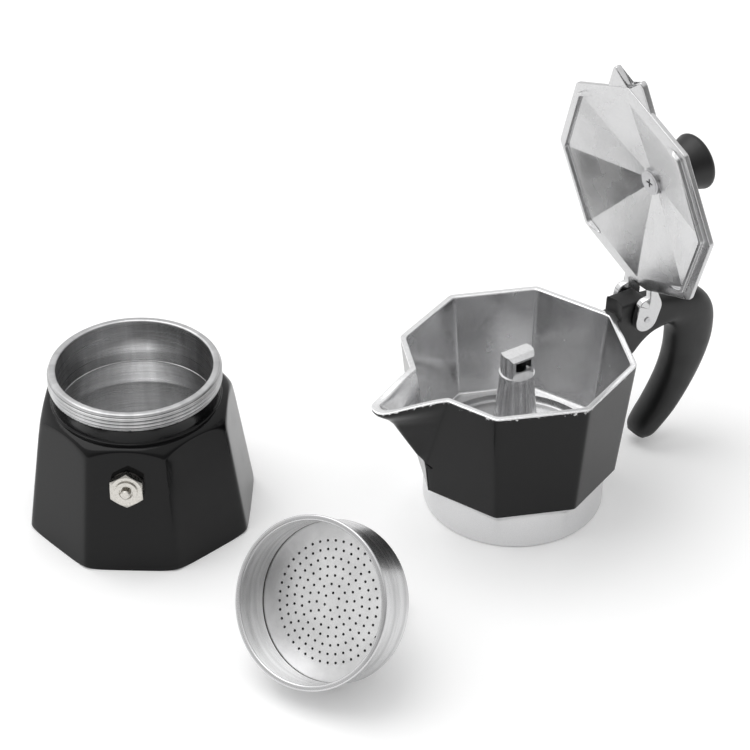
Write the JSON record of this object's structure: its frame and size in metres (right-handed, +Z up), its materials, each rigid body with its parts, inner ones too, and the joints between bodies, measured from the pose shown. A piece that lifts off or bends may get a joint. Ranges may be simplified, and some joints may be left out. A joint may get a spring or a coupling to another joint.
{
  "type": "moka pot",
  "caption": "Stove-top moka pot taken apart: octagonal boiler with valve, funnel filter, and octagonal top pot with spout, column, handle and open hinged lid.",
  "frame": {"origin": "on the boiler's own axis where it stands on the table", "axes": "+Z up along the boiler's axis, +X to the right as the pieces are laid out, +Y away from the viewer"},
  "size_m": [0.2674, 0.1961, 0.1708],
  "materials": {
    "boiler_paint": "gloss black paint over cast aluminium, bare turned neck and inside",
    "pot_paint": "gloss black paint over cast aluminium, bare rim, inside and collar",
    "cast_aluminium": "polished casting",
    "sheet_aluminium": "brushed",
    "nickel": "nickel-plated brass",
    "brass": "turned brass",
    "steel": "plain steel",
    "bakelite": "satin black",
    "seal_rubber": "soft",
    "valve_fibre": "dark pressed fibre"
  },
  "bodies": {
    "boiler": {"boiler_shell": "boiler_paint", "valve_seal": "valve_fibre", "valve_body": "nickel", "valve_ring": "brass"},
    "valve_plunger": {"valve_pin": "nickel"},
    "funnel": {"funnel_basket": "sheet_aluminium", "funnel_plate": "sheet_aluminium", "funnel_stem": "sheet_aluminium"},
    "top_pot": {"collector_shell": "pot_paint", "collector_column": "cast_aluminium", "seal_ring": "seal_rubber", "filter_plate": "sheet_aluminium", "handle": "bakelite", "handle_pin": "steel", "hinge_pin": "steel"},
    "lid": {"lid_shell": "cast_aluminium", "lid_knob": "bakelite", "knob_insert": "brass", "knob_washer": "sheet_aluminium", "knob_screw": "steel"}
  },
  "joints": [
    {"name": "valve_pin_slide", "type": "slide", "parent": "boiler", "child": "valve_plunger", "axis": [-0.038, -0.9895, 0.1394], "range_m": [0, 0.0015], "stiffness_N_per_m": 400, "springref_m": -0.002},
    {"name": "funnel_lift", "type": "slide", "parent": "boiler", "child": "funnel", "axis": [0, 0, 1], "range_m": [0, 0.12]},
    {"name": "top_pot_lift", "type": "slide", "parent": "boiler", "child": "top_pot", "axis": [0, 0, 1], "range_m": [0, 0.12]},
    {"name": "lid_hinge", "type": "hinge", "parent": "top_pot", "child": "lid", "pos_m": [0.18963, 0.03553, 0.065], "axis": [-0.5388, 0.8425, 0], "range_deg": [-83, 0]}
  ]
}
